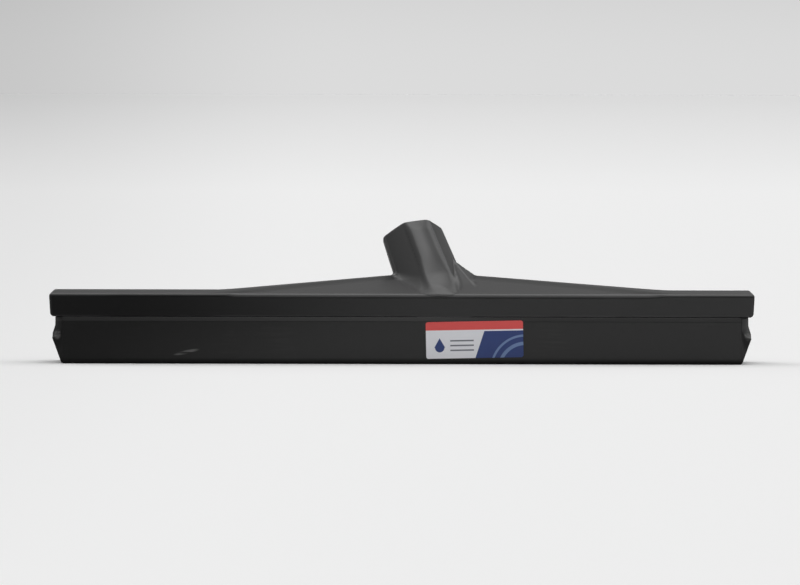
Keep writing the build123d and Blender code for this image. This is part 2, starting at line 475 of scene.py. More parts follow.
@dataclass(frozen=True)
class PrintedFilm:
    """A printed sticker: a red band over a white panel with a drop and a blue panel with two rings."""

    name: str
    centre: tuple[float, float, float]
    tilt: float
    width: float
    height: float
    white: Colour = (0.88, 0.89, 0.93)
    blue: Colour = (0.022, 0.05, 0.20)
    pale_blue: Colour = (0.16, 0.25, 0.46)
    red: Colour = (0.8, 0.09, 0.085)
    grey: Colour = (0.16, 0.17, 0.2)
    soft_edge: float = 0.12 * MM
    band_share: float = 0.27
    band_gap: float = 0.9 * MM
    panel_start: float = 4 * MM
    panel_lean: float = 0.35
    panel_gap: float = 0.4 * MM
    ring_centre: tuple[float, float] = (0.52, 0.85)
    rings: tuple[tuple[float, float], ...] = ((17 * MM, 1.1 * MM), (22 * MM, 0.7 * MM))
    drop_place: tuple[float, float] = (0.36, 0.2)
    drop_radius: float = 3.0 * MM
    drop_slope: tuple[float, float] = (0.87, 0.5)
    rule_count: int = 3
    rule_place: tuple[float, float] = (0.13, 0.02)
    rule_step: float = 0.13
    rule_half: tuple[float, float] = (7.5 * MM, 0.45 * MM)
    paper_size: float = 5 * MM
    paper_depth: float = 0.03 * MM
    roughness: float = 0.34
    paper_share: float = 0.2

    def material(self) -> bpy.types.Material:
        """The finish as a material."""
        finish = Finish(self.name)
        place = finish.moved(finish.place(), self.centre, (0, self.tilt, 0))
        across, _, up = finish.axes(place)
        fade = self.soft_edge

        def inside(distance: Term) -> Term:
            """1 where the distance to an outline is below 0."""
            return distance.ease(fade, -fade)

        band_foot = self.height * self.band_share
        split = across - self.panel_start - up * self.panel_lean
        panel = inside(self.panel_gap - split) * inside(up - band_foot + self.band_gap)
        ring_across = across - self.width * self.ring_centre[0]
        ring_up = up + self.height * self.ring_centre[1]
        ring_reach = (ring_across * ring_across + ring_up * ring_up).root()
        rings = reduce(Term.upper, [inside(abs(ring_reach - radius) - half) for radius, half in self.rings])
        drop_across = abs(across + self.width * self.drop_place[0])
        drop_up = up + self.height * self.drop_place[1]
        drop_round = (drop_across * drop_across + drop_up * drop_up).root() - self.drop_radius
        drop_side = drop_across * self.drop_slope[0] + drop_up * self.drop_slope[1] - self.drop_radius
        drop = inside(drop_round.lower(drop_side.upper(0.0 - drop_up)))
        rule_across = abs(across + self.width * self.rule_place[0]) - self.rule_half[0]
        rules = []
        for rule in range(self.rule_count):
            rule_up = up + self.height * (self.rule_place[1] + self.rule_step * rule)
            rules.append(inside(abs(rule_up) - self.rule_half[1]) * inside(rule_across))
        colour = finish.blend(reduce(Term.upper, rules), self.white, self.grey)
        colour = finish.blend(drop, colour, self.blue)
        colour = finish.blend(panel, colour, self.blue)
        colour = finish.blend(panel * rings, colour, self.pale_blue)
        colour = finish.blend(inside(band_foot - up), colour, self.red)
        paper = finish.noise(finish.place(), self.paper_size, detail=3.0)
        roughness = self.roughness + (paper - 0.5) * self.paper_share
        normal = finish.bump(paper, self.paper_depth)
        return finish.coat({"Base Color": colour, "Roughness": roughness, "Normal": normal})


def new_piece(name: str, mesh: bpy.types.Mesh) -> bpy.types.Object:
    """Puts a mesh into the scene as a piece at the origin.

    Args:
        name: The piece's name.
        mesh: Its mesh, already in place.

    Returns:
        The new object.
    """
    piece = bpy.data.objects.new(name, mesh)
    bpy.context.scene.collection.objects.link(piece)
    return piece


def softened_copy(
    node: bpy.types.Object,
    name: str,
    bevel: float,
    sharp: float,
    seam: float | None = None,
) -> bpy.types.Object:
    """Copies a node's mesh and rounds its sharp edges.

    Args:
        node: The node to copy.
        name: The new piece's name.
        bevel: The width of the rounded edges in metres.
        sharp: The least turn of an edge that is rounded, in radians.
        seam: The distance from the middle, along X, of a seam whose edges stay plain.

    Returns:
        The new piece, with a value of 1 on its rounded edges, which lightens their colour as edge wear and a
        painted highlight.
    """
    work = bmesh.new()
    work.from_mesh(node.data)
    bmesh.ops.remove_doubles(work, verts=work.verts, dist=WELD)
    bmesh.ops.dissolve_limit(work, angle_limit=FLAT, verts=work.verts, edges=work.edges)
    wear_and_highlight = work.faces.layers.float.new("wear_and_highlight")
    edges = [
        edge
        for edge in work.edges
        if edge.is_convex
        and edge.calc_face_angle(0) > sharp
        and (seam is None or any(abs(abs(vertex.co.x) - seam) > SEAM_ROOM for vertex in edge.verts))
    ]
    rounded = bmesh.ops.bevel(
        work, geom=edges, offset=bevel, segments=2, profile=0.5, affect="EDGES", clamp_overlap=True
    )
    # the rounded edges are marked for a lighter colour: edge wear and a painted highlight
    for face in rounded["faces"]:
        face[wear_and_highlight] = 1.0
    for face in work.faces:
        face.smooth = True
    for edge in work.edges:
        edge.smooth = edge.calc_face_angle(0) < sharp
    mesh = bpy.data.meshes.new(name)
    work.to_mesh(mesh)
    work.free()
    return new_piece(name, mesh)


class Growth(Board):
    """A geometry tree with named sizes, which grows a finished mesh from a seed mesh."""

    def __init__(self, name: str, sizes: Mapping[str, float]) -> None:
        """Makes a tree whose inputs carry the sizes' names.

        Args:
            name: The tree's name.
            sizes: Each input's name and value.
        """
        super().__init__(bpy.data.node_groups.new(name, "GeometryNodeTree"))
        self.sizes = dict(sizes)
        for direction in ("INPUT", "OUTPUT"):
            self.tree.interface.new_socket("Geometry", in_out=direction, socket_type="NodeSocketGeometry")
        for size in self.sizes:
            self.tree.interface.new_socket(size, in_out="INPUT", socket_type="NodeSocketFloat")
        self.entry = self.tree.nodes.new("NodeGroupInput")

    def given(self, name: str) -> Term:
        """One of the tree's inputs."""
        return Term(self, self.entry.outputs[name])

    def vector(self, x: Term | float, y: Term | float, z: Term | float) -> Term:
        """Three values as one vector."""
        return self.term("ShaderNodeCombineXYZ", inputs={0: x, 1: y, 2: z})

    def grow(self, result: Term, seed: bpy.types.Mesh, material: bpy.types.Material) -> bpy.types.Mesh:
        """Ends the tree and runs it on a seed mesh.

        Args:
            result: The tree's last geometry.
            seed: The mesh that it starts from.
            material: The finish of the grown mesh.

        Returns:
            The grown mesh, free of the tree.
        """
        real = self.term("GeometryNodeRealizeInstances", inputs={"Geometry": result})
        dressed = self.term("GeometryNodeSetMaterial", inputs={"Geometry": real, "Material": material})
        self.node("NodeGroupOutput", inputs={"Geometry": dressed})
        host = new_piece("seed", seed)
        modifier = host.modifiers.new("growth", "NODES")
        modifier.node_group = self.tree
        for socket in self.tree.interface.items_tree:
            if socket.in_out == "INPUT" and socket.name in self.sizes:
                modifier[socket.identifier] = float(self.sizes[socket.name])
        graph = bpy.context.evaluated_depsgraph_get()
        mesh = bpy.data.meshes.new_from_object(host.evaluated_get(graph))
        host.modifiers.remove(modifier)
        bpy.data.objects.remove(host)
        bpy.data.meshes.remove(seed)
        return mesh


def meet(radius: float, *parts: Field) -> Field:
    """The form inside all of the parts, with rounded edges.

    Args:
        radius: The radius of its outer edges.
        parts: The distance to each part's surface, below 0 inside.

    Returns:
        The distance to the form's surface, below 0 inside.
    """
    inner = np.minimum(reduce(np.maximum, parts), -radius)
    return inner + np.sqrt(sum(np.maximum(part + radius, 0.0) ** 2 for part in parts))


def join(reach: Field | float, first: Field, second: Field) -> Field:
    """The form inside either of two parts, with a soft hollow blend where they meet.

    Args:
        reach: How far from the seam the blend begins.
        first: The distance to the first part's surface, below 0 inside.
        second: The distance to the second part's surface, below 0 inside.

    Returns:
        The distance to the form's surface, below 0 inside.
    """
    near = np.maximum(reach - np.abs(first - second), 0.0) / reach
    return np.minimum(first, second) - near**3 * reach / 6.0


def eased(value: Field, low: float, high: float) -> Field:
    """Rises smoothly from 0 at low to 1 at high."""
    share = np.clip((value - low) / (high - low), 0.0, 1.0)
    return share * share * (3.0 - 2.0 * share)


def spaced(*runs: tuple[float, float, float]) -> Field:
    """Lines at even steps in each of several runs.

    Args:
        runs: The start, end and step of each run, in order.

    Returns:
        The places of the lines, rising.
    """
    parts = [np.linspace(start, end, max(2, round((end - start) / step) + 1)) for start, end, step in runs]
    return np.unique(np.round(np.concatenate(parts), 6))


@dataclass(frozen=True)
class Slope:
    """A flat face through three corners, which looks away from an inner point."""

    corners: tuple[tuple[float, float, float], ...]
    inner: tuple[float, float, float]

    def level(self, *place: Field) -> Field:
        """The distance to the face, below 0 on its inner side."""
        first, second, third = (np.array(corner) for corner in self.corners)
        normal = np.cross(second - first, third - first)
        normal /= np.linalg.norm(normal)
        if normal @ (np.array(self.inner) - first) > 0:
            normal = -normal
        return sum(axis * (value - corner) for axis, value, corner in zip(normal, place, first))


@dataclass
class Skin:
    """A mesh wrapped around a form that is given by the distance to its surface."""

    level: Callable[[Field, Field, Field], Field]
    lines: tuple[Field, Field, Field]
    rounds: int = 5
    probe: float = 0.02
    bend_probe: float = 0.7
    longest_step: float = 0.6
    least_slope: float = 0.2
    tiny: float = 1e-9
    shares: int = 40
    wear_and_highlight_bend: tuple[float, float] = (0.12, 0.6)
    polish_tilt: tuple[float, float] = (0.1, 0.4)
    upright_tilt: tuple[float, float] = (0.7, 0.95)
    hollow_bend: tuple[float, float] = (0.01, 0.12)
    hollow_dull: float = 0.35

    def slope(self, places: Field, probe: float) -> Field:
        """The direction in which the distance grows, at each place."""
        columns = []
        for axis in range(3):
            shift = np.zeros(3)
            shift[axis] = probe
            ahead = self.level(*(places + shift).T)
            behind = self.level(*(places - shift).T)
            columns.append((ahead - behind) / (2 * probe))
        return np.stack(columns, axis=1)

    def bend(self, places: Field) -> Field:
        """How strongly the surface bends outwards at each place, as one over a radius."""
        total = -6.0 * self.level(*places.T)
        for axis in range(3):
            for side in (-1, 1):
                shift = np.zeros(3)
                shift[axis] = side * self.bend_probe
                total += self.level(*(places + shift).T)
        return total / self.bend_probe**2

    def wrap(self) -> tuple[Field, Field]:
        """Finds the mesh.

        Returns:
            The places of its corners, and its faces as four corner numbers each.
        """
        along, across, upward = self.lines
        values = np.concatenate([
            self.level(*np.meshgrid(share, across, upward, indexing="ij"))
            for share in np.array_split(along, self.shares)
        ])
        inside = values < 0
        halves = (slice(None, -1), slice(1, None))
        filled = sum(inside[corner].astype(np.int8) for corner in product(halves, repeat=3))
        cells = np.argwhere((filled > 0) & (filled < 8))
        number = np.full(filled.shape, -1)
        number[tuple(cells.T)] = np.arange(len(cells))
        places = self._first_places(values, cells)
        for _ in range(self.rounds):
            rise = self.slope(places, self.probe)
            steep = np.maximum((rise**2).sum(axis=1), self.least_slope)
            step = (self.level(*places.T) / steep)[:, None] * rise
            length = np.linalg.norm(step, axis=1, keepdims=True)
            places = places - step * np.minimum(1.0, self.longest_step / np.maximum(length, self.tiny))
        return places, self._faces(inside, number)

    def _first_places(self, values: Field, cells: Field) -> Field:
        """The middle of the points where the surface crosses each cell's edges."""
        total = np.zeros((len(cells), 3))
        hits = np.zeros((len(cells), 1))
        for axis in range(3):
            for edge in product((0, 1), repeat=2):
                start = cells + np.insert(edge, axis, 0)
                end = cells + np.insert(edge, axis, 1)
                low = values[tuple(start.T)]
                high = values[tuple(end.T)]
                crossed = ((low < 0) != (high < 0))[:, None]
                share = (low / np.where(low == high, 1.0, low - high))[:, None]
                near = self._grid_places(start)
                far = self._grid_places(end)
                total += crossed * (near + share * (far - near))
                hits += crossed
        return total / hits

    def _grid_places(self, corners: Field) -> Field:
        """The places of grid corners that are given by their line numbers."""
        return np.stack([line[corners[:, axis]] for axis, line in enumerate(self.lines)], axis=1)

    @staticmethod
    def _faces(inside: Field, number: Field) -> Field:
        """Joins the cells around each crossed line into a face that looks outwards."""
        faces = []
        for axis in range(3):
            order = (axis, (axis + 1) % 3, (axis + 2) % 3)
            solid = inside.transpose(order)
            cell = number.transpose(order)
            i, j, k = np.nonzero(solid[:-1, 1:-1, 1:-1] != solid[1:, 1:-1, 1:-1])
            around = (cell[i, j, k], cell[i, j + 1, k], cell[i, j + 1, k + 1], cell[i, j, k + 1])
            ring = np.stack(around, axis=1)
            turned = ~solid[i, j + 1, k + 1]
            ring[turned] = ring[turned, ::-1]
            faces.append(ring)
        return np.concatenate(faces)

    def mesh(self, name: str) -> bpy.types.Mesh:
        """Makes the smooth mesh, with marks on its outer edges and where it looks up or stands upright.

        Args:
            name: The mesh's name.

        Returns:
            The mesh in metres.
        """
        places, faces = self.wrap()
        normals = self.slope(places, self.probe)
        normals /= np.maximum(np.linalg.norm(normals, axis=1, keepdims=True), self.tiny)
        mesh = bpy.data.meshes.new(name)
        mesh.from_pydata((places * MM).tolist(), [], faces.tolist())
        bend = self.bend(places)
        hollow = eased(-bend, *self.hollow_bend)
        marks = {
            # outer edges are marked for a lighter colour: edge wear and a painted highlight
            "wear_and_highlight": eased(bend, *self.wear_and_highlight_bend),
            "polish": eased(normals[:, 2], *self.polish_tilt) * (1.0 - self.hollow_dull * hollow),
            "upright": eased(np.abs(normals[:, 1]), *self.upright_tilt),
        }
        for mark, values in marks.items():
            mesh.attributes.new(mark, "FLOAT", "POINT").data.foreach_set("value", values.astype(np.float32))
        mesh.shade_smooth()
        mesh.normals_split_custom_set_from_vertices(normals.tolist())
        return mesh


@dataclass
class Socket:
    """The handle socket: a tapered eight-sided tube with swollen sides, one of its corners planed off."""

    foot: tuple[float, float, float] = (17.7, 11.0, 46.0)
    side_lean: float = math.radians(21.0)
    back_lean: float = math.radians(39.5)
    reach: float = 42.3
    flats: float = 40.8
    sides: int = 8
    taper: float = math.radians(2.2)
    turn: float = math.radians(31.0)
    corner: float = 1.8
    front_side: int = 5
    front_bulge: float = 1.5
    bulge_top: tuple[float, float] = (-2.0, 10.0)
    bulge_foot: tuple[float, float] = (-56.0, -26.0)
    trim: float = 5.2
    trim_corner: int = 3
    swell: float = 0.12
    swell_reach: float = 1.03
    rim: float = 1.2
    heel: tuple[float, float] = (24.0, 33.0)
    heel_slope: float = math.radians(38.0)
    heel_edge: float = 2.0
    bore_radius: float = 14.25
    bore_depth: float = 37.317
    bore_edge: float = 1.0
    pilot_radius: float = 2.5
    pilot_drop: float = 9.0
    pilot_floor: float = 20.95
    pilot_edge: float = 0.4

    def __post_init__(self) -> None:
        """Works out the directions along and across the tube, and the middle of its mouth."""
        axis = np.array([-math.tan(self.side_lean), math.tan(self.back_lean), 1.0])
        self.axis = axis / np.linalg.norm(axis)
        across = np.array([1.0, 0.0, 0.0]) - self.axis * self.axis[0]
        self.across = across / np.linalg.norm(across)
        self.upward = np.cross(self.axis, self.across)
        self.mouth = np.array(self.foot) + self.axis * self.reach

    def tube_place(self, place: Sequence[Field]) -> tuple[Field, Field, Field]:
        """A place as seen from the mouth: across, up and along the tube."""
        shift = [value - middle for value, middle in zip(place, self.mouth)]
        axes = (self.across, self.upward, self.axis)
        return tuple(sum(part * way for part, way in zip(shift, axis)) for axis in axes)

    def outside(self, *place: Field) -> Field:
        """The distance to the tube's outside, below 0 inside."""
        across, upward, along = self.tube_place(place)
        half = self.flats / 2 - along * math.tan(self.taper)
        half_side = math.pi / self.sides

        def outward(angle: float) -> Field:
            """How far the place lies from the tube's axis in a direction across it."""
            return across * math.cos(angle) + upward * math.sin(angle)

        angles = [self.turn + (2 * side + 1) * half_side for side in range(self.sides)]
        faces = [outward(angle) - half for angle in angles]
        aside = outward(angles[self.front_side] + math.pi / 2) / (half * math.tan(half_side))
        bulge = self.front_bulge * eased(-along, *self.bulge_top) * eased(along, *self.bulge_foot)
        faces[self.front_side] -= bulge * np.maximum(1.0 - aside**2, 0.0)
        trim_angle = self.turn + 2 * self.trim_corner * half_side
        planed = outward(trim_angle) - half / math.cos(half_side) + self.trim
        flat = meet(self.corner, *faces, planed)
        swollen = meet(self.corner, np.hypot(across, upward) - half * self.swell_reach, planed)
        shell = (flat * (1 - self.swell) + swollen * self.swell) * math.cos(self.taper)
        heel_rise = self.heel[1] + (place[1] - self.heel[0]) * math.tan(self.heel_slope)
        heel_cut = (heel_rise - place[2]) * math.cos(self.heel_slope)
        return meet(self.heel_edge, meet(self.rim, shell, along), heel_cut)

    def bore(self, *place: Field) -> Field:
        """The distance to the bore's wall, below 0 in the hollow."""
        across, upward, along = self.tube_place(place)
        return meet(self.bore_edge, np.hypot(across, upward) - self.bore_radius, -along - self.bore_depth)

    def pilot(self, *place: Field) -> Field:
        """The distance to the shallow dimple below the rim, below 0 in the hollow."""
        across, upward, along = self.tube_place(place)
        outward = across * math.cos(self.turn) + upward * math.sin(self.turn)
        aside = upward * math.cos(self.turn) - across * math.sin(self.turn)
        radial = np.hypot(aside, along + self.pilot_drop) - self.pilot_radius
        return meet(self.pilot_edge, radial, self.pilot_floor - outward)


@dataclass
class Bar:
    """The moulded bar with its hump, buttress and handle socket, in millimetres, Y from the bar's middle."""

    finish: SatinPlastic
    socket: Socket
    middle: float = 18.7
    length: float = 450.0
    depth: float = 48.0
    bottom: float = 30.0
    top: float = 46.0
    top_fall: float = 1.0
    top_edge: float = 2.2
    end_draft: float = 0.8
    end_edge: float = 1.5
    end_corner: float = 2.5
    lip_edge: float = 0.35
    skirt: float = 3.0
    lip_height: float = 2.5
    lip_reach: float = 3.0
    ceiling: float = 37.1
    core_roof: float = 42.0
    core_size: float = 33.0
    core_pitch: float = 36.0
    core_middles: tuple[tuple[float, int], ...] = ((-116.15, 5), (133.85, 4))
    hump_ends: tuple[float, float] = (-117.0, 171.0)
    hump_rise: float = 11.7
    hump_crest: tuple[float, float, float, float] = (13.7, 21.7, 8.5, 11.5)
    hump_ridge: float = 3.0
    hump_blend: float = 1.5
    hump_fade: float = 15.0
    buttress_base: tuple[tuple[float, float], ...] = ((17.7, 8.0), (35.7, -19.5), (50.1, -18.2), (61.7, 5.6))
    buttress_apex: tuple[float, float, float] = (32.4, 14.2, 66.1)
    buttress_root: float = 1.0
    buttress_edge: float = 0.4
    buttress_blend: float = 1.5
    foot_blend: float = 5.0
    side_blend: float = 1.5
    side_reach: tuple[float, float] = (26.0, 34.0)
    toe_blend: float = 11.5
    toe: tuple[float, float] = (25.0, 11.0)
    toe_reach: tuple[float, float] = (-4.0, 12.0)
    boss_front: float = 23.9
    boss_foot: tuple[float, float] = (-23.43, 44.3)
    boss_slope: float = math.radians(42.0)
    boss_edge: float = 1.2
    end_room: float = 1.5
    wall_room: float = 0.7
    line_room: float = 0.3

    def core_centres(self) -> list[float]:
        """The middles of the cored pockets along the bar."""
        return [
            middle + self.core_pitch * (core - (count - 1) / 2)
            for middle, count in self.core_middles
            for core in range(count)
        ]

    def roof_height(self, depth: Field | float) -> Field | float:
        """The height of the bar's sloping top at a depth."""
        return self.top - self.top_fall * (0.5 - depth / self.depth)

    def hump_faces(self) -> list[Slope]:
        """The four slopes of the hump."""
        left, right = self.hump_ends
        edge = self.depth / 2 - self.top_edge
        crest_left, crest_right, crest_front, crest_rear = self.hump_crest
        crest_middle = (crest_front + crest_rear) / 2
        peak = self.top + self.hump_rise
        inner = (0.0, 0.0, 0.0)
        low = {side: self.roof_height(side * edge) for side in (-1, 1)}
        return [
            Slope(((left, -edge, low[-1]), (left, edge, low[1]), (crest_left, crest_middle, peak)), inner),
            Slope(((right, -edge, low[-1]), (right, edge, low[1]), (crest_right, crest_middle, peak)), inner),
            Slope(((left, -edge, low[-1]), (right, -edge, low[-1]), (crest_left, crest_front, peak)), inner),
            Slope(((left, edge, low[1]), (right, edge, low[1]), (crest_left, crest_rear, peak)), inner),
        ]

    def buttress_faces(self) -> list[Slope]:
        """The four faces of the buttress between the socket and the hump."""
        base = [(x, y, self.roof_height(y)) for x, y in self.buttress_base]
        inner = tuple(sum(corner[axis] for corner in base) / len(base) for axis in range(3))
        following = base[1:] + base[:1]
        return [Slope((first, second, self.buttress_apex), inner) for first, second in zip(base, following)]

    def body(self, *place: Field) -> Field:
        """The distance to the bar with its hump, below 0 inside."""
        x, y, z = place
        half_depth = self.depth / 2
        flare = self.end_draft / (self.top - self.bottom - self.top_edge)
        ends = np.abs(x) - self.length / 2 + self.end_draft - (z - self.bottom) * flare
        sides = meet(self.end_edge, ends, y - half_depth, -y - half_depth)
        slopes = [face.level(*place) for face in self.hump_faces()]
        roof = join(self.hump_blend, z - self.roof_height(y), meet(self.hump_ridge, *slopes))
        left, right = self.hump_ends
        after_left = eased(x, left - self.hump_fade, left + self.hump_fade)
        within = after_left * eased(-x, -right - self.hump_fade, -right + self.hump_fade)
        roof = np.maximum(roof, slopes[2] - (1.0 - within) * self.top_edge)
        upper = meet(self.top_edge, sides, roof)
        lower = meet(self.lip_edge, sides, self.bottom - z)
        corner = meet(self.end_corner, ends, self.bottom - z)
        return np.maximum(np.maximum(upper, lower), corner)

    def hollow(self, *place: Field) -> Field:
        """The distance to the channel and the cored pockets above it, below 0 in the hollow."""
        x, y, z = place
        channel_half = self.depth / 2 - self.skirt
        lip_top = self.bottom + self.lip_height
        channel = np.maximum(np.maximum(np.abs(y) - channel_half, lip_top - z), z - self.ceiling)
        throat = np.maximum(np.abs(y) - channel_half + self.lip_reach, z - self.ceiling)
        span = np.full(x.shape, np.inf)
        for centre in self.core_centres():
            span = np.minimum(span, np.abs(x - centre) - self.core_size / 2)
        core = np.maximum(np.maximum(span, np.abs(y) - channel_half + self.lip_reach), z - self.core_roof)
        return np.minimum(np.minimum(channel, throat), core)

    def level(self, x: Field, y: Field, z: Field) -> Field:
        """The distance to the whole moulding's surface, below 0 inside."""
        place = (x, y - self.middle, z)
        base = self.roof_height(place[1]) - self.buttress_root - z
        buttress = meet(self.buttress_edge, base, *[face.level(*place) for face in self.buttress_faces()])
        body = join(self.buttress_blend, self.body(*place), buttress)
        toe = np.exp(-(((x - self.toe[0]) / self.toe[1]) ** 2)) * eased(-place[1], *self.toe_reach)
        foot = self.foot_blend + (self.side_blend - self.foot_blend) * eased(x, *self.side_reach)
        foot = foot + (self.toe_blend - foot) * toe
        foot_depth, foot_height = self.boss_foot
        toe_depth = (foot_depth - place[1]) * math.cos(self.boss_slope)
        toe_cut = toe_depth + (z - foot_height) * math.sin(self.boss_slope)
        boss = join(foot, body, self.socket.outside(*place))
        boss = meet(self.boss_edge, boss, toe_cut, -place[1] - self.boss_front)
        solid = np.maximum(np.minimum(body, boss), self.bottom - z)
        solid = meet(self.socket.bore_edge, solid, -self.socket.bore(*place))
        solid = meet(self.socket.pilot_edge, solid, -self.socket.pilot(*place))
        return meet(self.lip_edge, solid, -self.hollow(*place))

    def lines(self) -> tuple[Field, Field, Field]:
        """The lines of the grid on which the surface is found, close where the form is fine."""
        end = self.length / 2 + self.end_room
        along = spaced(
            (-end, -217.0, 0.55),
            (-217.0, -120.0, 4.0),
            (-120.0, -22.0, 2.6),
            (-22.0, 54.0, 0.8),
            (54.0, 66.0, 1.4),
            (66.0, 175.0, 3.0),
            (175.0, 217.0, 4.0),
            (217.0, end, 0.55),
        )
        half_core = self.core_size / 2
        walls = [centre + side * half_core for centre in self.core_centres() for side in (-1, 1)]
        beside = [wall + side * self.wall_room for wall in walls for side in (-1, 1)]
        free = [line for line in beside if np.abs(along - line).min() > self.line_room]
        along = np.sort(np.concatenate([along, free]))
        across = self.middle + spaced(
            (-25.5, -17.0, 0.5),
            (-17.0, 2.0, 1.3),
            (2.0, 20.0, 0.85),
            (20.0, 25.0, 0.5),
            (25.0, 55.5, 0.8),
        )
        upward = spaced((28.8, 47.0, 0.52), (47.0, 92.6, 0.8))
        return along, across, upward

    def build(self) -> bpy.types.Object:
        """Makes the bar's mesh.

        Returns:
            The bar, riding on its body.
        """
        mesh = Skin(self.level, self.lines()).mesh("bar")
        mesh.materials.append(self.finish.material())
        piece = new_piece("bar", mesh)
        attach(piece, "frame")
        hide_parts("frame")
        return piece


@dataclass
class Outline:
    """A closed outline of straight runs with rounded corners."""

    corners: Sequence[tuple[float, float, float]]
    steps: int = 6
    rest: float = 0.4

    def points(self) -> list[tuple[float, float]]:
        """The outline's points in order, with one on each side of a rounding so that flats stay flat."""
        points = []
        count = len(self.corners)
        for index, (x, y, radius) in enumerate(self.corners):
            here = Vector((x, y))
            before = (Vector(self.corners[index - 1][:2]) - here).normalized()
            after = (Vector(self.corners[(index + 1) % count][:2]) - here).normalized()
            half = before.angle(after) / 2
            setback = radius / math.tan(half)
            centre = here + (before + after).normalized() * radius / math.sin(half)
            start = here + before * setback - centre
            end = here + after * setback - centre
            turn = start.angle_signed(end)
            points.append(here + before * (setback + self.rest))
            for step in range(self.steps + 1):
                points.append(centre + Matrix.Rotation(-turn * step / self.steps, 2) @ start)
            points.append(here + after * (setback + self.rest))
        return [tuple(point) for point in points]


@dataclass
class Blades:
    """The two rubber strips of the cassette, swept along the head, in millimetres."""

    finish: BlackRubber
    length: float = 432.3
    thickness: float = 13.0
    height: float = 29.92
    shoulder_rise: float = 2.8
    shoulder_run: float = 1.2
    shoulder: float = 1.5
    crown: float = 0.5
    lip: float = 1.2
    heel: float = 0.6
    rows: int = 145
    wave_depth: float = 0.14
    wave_length: float = 70.0
    pin_places: tuple[int, float, float] = (8, 54.0, 17.0)
    pin_hole: float = 2.6
    pin_bite: float = 9.0
    drill_sides: int = 24
    wave_apart: float = 7.0
    wave_skin: tuple[float, float] = (3.0, 1.0)
    sharp: float = math.radians(40)

    def build(self) -> list[bpy.types.Object]:
        """Makes both strips.

        Returns:
            The strips, riding on the cassette.
        """
        material = self.finish.material()
        pieces = []
        for strip in Strip:
            low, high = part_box(strip.node)
            outer = (low if strip.facing < 0 else high).y / MM
            mesh = self._sweep(outer, strip.facing, material)
            mesh.set_sharp_from_angle(angle=self.sharp)
            piece = new_piece(f"rubber_{strip.node}", mesh)
            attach(piece, "cassette")
            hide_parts(strip.node)
            pieces.append(piece)
        return pieces

    def _sweep(self, outer: float, facing: int, material: bpy.types.Material) -> bpy.types.Mesh:
        """Sweeps one strip's outline along the head and bores its blind holes.

        Args:
            outer: The place of the strip's outer face along Y.
            facing: The sign of Y on that side.
            material: The strip's finish.

        Returns:
            The strip's mesh.
        """
        corners = [
            (self.thickness, 0.0, self.heel),
            (0.0, 0.0, self.lip),
            (0.0, self.height - self.shoulder_rise, self.shoulder),
            (self.shoulder_run, self.height, self.crown),
            (self.thickness, self.height, self.crown),
        ]
        outline = [(facing * inward - outer, -up) for inward, up in Outline(corners).points()]
        if facing > 0:
            outline.reverse()
        seed = bpy.data.meshes.new("blade_outline")
        ring = [(place, (place + 1) % len(outline)) for place in range(len(outline))]
        seed.from_pydata([(across * MM, up * MM, 0.0) for across, up in outline], ring, [])
        hole_count, hole_pitch, hole_height = self.pin_places
        sizes = {
            "Length": self.length * MM,
            "Rows": self.rows,
            "Wave Depth": self.wave_depth * MM,
            "Wave Length": self.wave_length * MM,
            "Hole Count": hole_count,
            "Hole Pitch": hole_pitch * MM,
            "Hole Height": hole_height * MM,
            "Hole Radius": self.pin_hole * MM,
            "Hole Depth": self.pin_bite * MM,
        }
        tree = Growth("blade_sweep", sizes)
        half = tree.given("Length") * 0.5
        ends = {"Start": tree.vector(0.0 - half, 0.0, 0.0), "End": tree.vector(half, 0.0, 0.0)}
        spine = tree.term("GeometryNodeCurvePrimitiveLine", inputs=ends)
        spine = tree.term("GeometryNodeResampleCurve", inputs={"Curve": spine, "Count": tree.given("Rows")})
        profile = tree.term("GeometryNodeMeshToCurve", inputs={"Mesh": tree.given("Geometry")})
        sweep = {"Curve": spine, "Profile Curve": profile, "Fill Caps": True}
        strip = tree.term("GeometryNodeCurveToMesh", inputs=sweep)
        place = tree.node("ShaderNodeSeparateXYZ", inputs={0: tree.term("GeometryNodeInputPosition")})
        along, across, up = (Term(tree, output) for output in place.outputs)
        wave_place = along / tree.given("Wave Length") + self.wave_apart * facing
        ripple = {"W": wave_place, "Scale": 1.0, "Detail": 1.0}
        wave = tree.term("ShaderNodeTexNoise", {"noise_dimensions": "1D"}, ripple)
        sag = wave * tree.given("Wave Depth") * up.ease(self.height * MM, 0.0)
        skin = [(outer * facing - inward) * MM for inward in self.wave_skin]
        near_outer = (across * facing).ease(*skin)
        shift = tree.vector(0.0, sag * near_outer * -facing, 0.0)
        strip = tree.term("GeometryNodeSetPosition", inputs={"Geometry": strip, "Offset": shift})
        first = tree.given("Hole Pitch") * (tree.given("Hole Count") - 1.0) * -0.5
        back = (outer - facing * self.thickness) * MM
        row = tree.term("GeometryNodeMeshLine", inputs={
            "Count": tree.given("Hole Count"),
            "Start Location": tree.vector(first, back, tree.given("Hole Height")),
            "Offset": tree.vector(tree.given("Hole Pitch"), 0.0, 0.0),
        })
        drill = tree.term("GeometryNodeMeshCylinder", inputs={
            "Vertices": self.drill_sides,
            "Radius": tree.given("Hole Radius"),
            "Depth": tree.given("Hole Depth") * 2.0,
        })
        drills = tree.term("GeometryNodeInstanceOnPoints", inputs={
            "Points": row,
            "Instance": drill,
            "Rotation": (math.pi / 2, 0.0, 0.0),
        })
        cut = {"operation": "DIFFERENCE", "solver": "EXACT"}
        bored = tree.term("GeometryNodeMeshBoolean", cut, {"Mesh 1": strip, "Mesh 2": drills})
        smooth = tree.term("GeometryNodeSetShadeSmooth", inputs={"Geometry": bored, "Shade Smooth": True})
        return tree.grow(smooth, seed, material)


